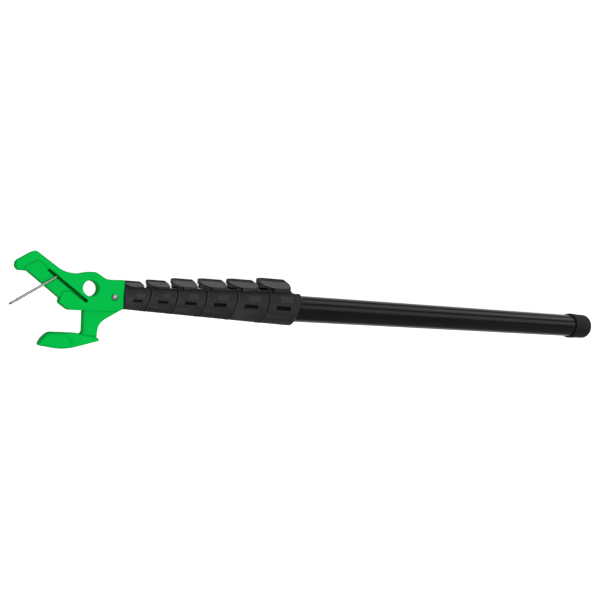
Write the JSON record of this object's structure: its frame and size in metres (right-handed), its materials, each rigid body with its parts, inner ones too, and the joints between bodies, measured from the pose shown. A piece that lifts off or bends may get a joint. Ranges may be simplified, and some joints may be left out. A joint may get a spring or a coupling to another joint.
{
  "type": "telescopic hook pole",
  "caption": "Long-reach telescopic pole with flip-lever clamps on its nested tubes, a rubber butt cap and a moulded hook head with a beak, an eye and a foot.",
  "frame": {"origin": "centre of the end cap's flat end face, on the pole's axis", "axes": "+X along the pole from the butt to the hook; +Z is the face normal of the flat hook head; the flip levers point to -Y and the hook's foot to +Y"},
  "size_m": [0.9074, 0.1075, 0.0454],
  "materials": {
    "tube_finish": "gloss black coated",
    "clamp_plastic": "matt",
    "lever_plastic": "satin",
    "green_plastic": "satin",
    "cap_rubber": "matt",
    "bright_steel": "polished",
    "spring_steel": "satin",
    "inner_plastic": "matt",
    "shoe_rubber": "matt"
  },
  "bodies": {
    "outer_section": {"tube_7": "tube_finish", "end_cap": "cap_rubber", "clamp_6": "clamp_plastic", "lever_pin_6": "spring_steel"},
    "section_6": {"tube_6": "tube_finish", "tail_bush_6": "inner_plastic", "clamp_5": "clamp_plastic", "lever_pin_5": "spring_steel"},
    "section_5": {"tube_5": "tube_finish", "tail_bush_5": "inner_plastic", "clamp_4": "clamp_plastic", "lever_pin_4": "spring_steel"},
    "section_4": {"tube_4": "tube_finish", "tail_bush_4": "inner_plastic", "clamp_3": "clamp_plastic", "lever_pin_3": "spring_steel"},
    "section_3": {"tube_3": "tube_finish", "tail_bush_3": "inner_plastic", "clamp_2": "clamp_plastic", "lever_pin_2": "spring_steel"},
    "section_2": {"tube_2": "tube_finish", "tail_bush_2": "inner_plastic", "clamp_1": "clamp_plastic", "lever_pin_1": "spring_steel"},
    "section_1": {"tube_1": "tube_finish", "tail_bush_1": "inner_plastic", "hook_head": "green_plastic", "head_screw": "bright_steel", "tip_plug": "inner_plastic", "gate_spring": "spring_steel"},
    "lever_6_body": {"lever_6": "lever_plastic"},
    "shoe_6_body": {"brake_shoe_6": "shoe_rubber"},
    "lever_5_body": {"lever_5": "lever_plastic"},
    "shoe_5_body": {"brake_shoe_5": "shoe_rubber"},
    "lever_4_body": {"lever_4": "lever_plastic"},
    "shoe_4_body": {"brake_shoe_4": "shoe_rubber"},
    "lever_3_body": {"lever_3": "lever_plastic"},
    "shoe_3_body": {"brake_shoe_3": "shoe_rubber"},
    "lever_2_body": {"lever_2": "lever_plastic"},
    "shoe_2_body": {"brake_shoe_2": "shoe_rubber"},
    "lever_1_body": {"lever_1": "lever_plastic"},
    "shoe_1_body": {"brake_shoe_1": "shoe_rubber"},
    "gate": {"gate_rod": "bright_steel", "gate_clip": "spring_steel"}
  },
  "joints": [
    {"name": "slide_6", "type": "slide", "parent": "outer_section", "child": "section_6", "axis": [1, 0, 0], "range_m": [0, 0.455]},
    {"name": "slide_5", "type": "slide", "parent": "section_6", "child": "section_5", "axis": [1, 0, 0], "range_m": [0, 0.455]},
    {"name": "slide_4", "type": "slide", "parent": "section_5", "child": "section_4", "axis": [1, 0, 0], "range_m": [0, 0.455]},
    {"name": "slide_3", "type": "slide", "parent": "section_4", "child": "section_3", "axis": [1, 0, 0], "range_m": [0, 0.455]},
    {"name": "slide_2", "type": "slide", "parent": "section_3", "child": "section_2", "axis": [1, 0, 0], "range_m": [0, 0.455]},
    {"name": "slide_1", "type": "slide", "parent": "section_2", "child": "section_1", "axis": [1, 0, 0], "range_m": [0, 0.455]},
    {"name": "lever_flip_6", "type": "hinge", "parent": "outer_section", "child": "lever_6_body", "pos_m": [0.5682, -0.0303, 0], "axis": [0, 0, -1], "range_deg": [0, 95]},
    {"name": "shoe_lift_6", "type": "slide", "parent": "outer_section", "child": "shoe_6_body", "axis": [0, -1, 0], "range_m": [0, 0.0006]},
    {"name": "lever_flip_5", "type": "hinge", "parent": "section_6", "child": "lever_5_body", "pos_m": [0.614, -0.02741, 0], "axis": [0, 0, -1], "range_deg": [0, 95]},
    {"name": "shoe_lift_5", "type": "slide", "parent": "section_6", "child": "shoe_5_body", "axis": [0, -1, 0], "range_m": [0, 0.000547]},
    {"name": "lever_flip_4", "type": "hinge", "parent": "section_5", "child": "lever_4_body", "pos_m": [0.6561, -0.02467, 0], "axis": [0, 0, -1], "range_deg": [0, 95]},
    {"name": "shoe_lift_4", "type": "slide", "parent": "section_5", "child": "shoe_4_body", "axis": [0, -1, 0], "range_m": [0, 0.000494]},
    {"name": "lever_flip_3", "type": "hinge", "parent": "section_4", "child": "lever_3_body", "pos_m": [0.6945, -0.0221, 0], "axis": [0, 0, -1], "range_deg": [0, 95]},
    {"name": "shoe_lift_3", "type": "slide", "parent": "section_4", "child": "shoe_3_body", "axis": [0, -1, 0], "range_m": [0, 0.000441]},
    {"name": "lever_flip_2", "type": "hinge", "parent": "section_3", "child": "lever_2_body", "pos_m": [0.7292, -0.01969, 0], "axis": [0, 0, -1], "range_deg": [0, 95]},
    {"name": "shoe_lift_2", "type": "slide", "parent": "section_3", "child": "shoe_2_body", "axis": [0, -1, 0], "range_m": [0, 0.000387]},
    {"name": "lever_flip_1", "type": "hinge", "parent": "section_2", "child": "lever_1_body", "pos_m": [0.7602, -0.01743, 0], "axis": [0, 0, -1], "range_deg": [0, 95]},
    {"name": "shoe_lift_1", "type": "slide", "parent": "section_2", "child": "shoe_1_body", "axis": [0, -1, 0], "range_m": [0, 0.000334]},
    {"name": "gate_swing", "type": "hinge", "parent": "section_1", "child": "gate", "pos_m": [0.8582, -0.0192, 0.0082], "axis": [0, 0, 1], "range_deg": [-35, 45], "stiffness_Nm_per_rad": 0.02}
  ],
  "couplings": [
    {"joint": "shoe_lift_6", "follows": "lever_flip_6", "m_per_rad": 0.00036151},
    {"joint": "shoe_lift_5", "follows": "lever_flip_5", "m_per_rad": 0.00032957},
    {"joint": "shoe_lift_4", "follows": "lever_flip_4", "m_per_rad": 0.00029764},
    {"joint": "shoe_lift_3", "follows": "lever_flip_3", "m_per_rad": 0.00026571},
    {"joint": "shoe_lift_2", "follows": "lever_flip_2", "m_per_rad": 0.00023317},
    {"joint": "shoe_lift_1", "follows": "lever_flip_1", "m_per_rad": 0.00020124}
  ]
}
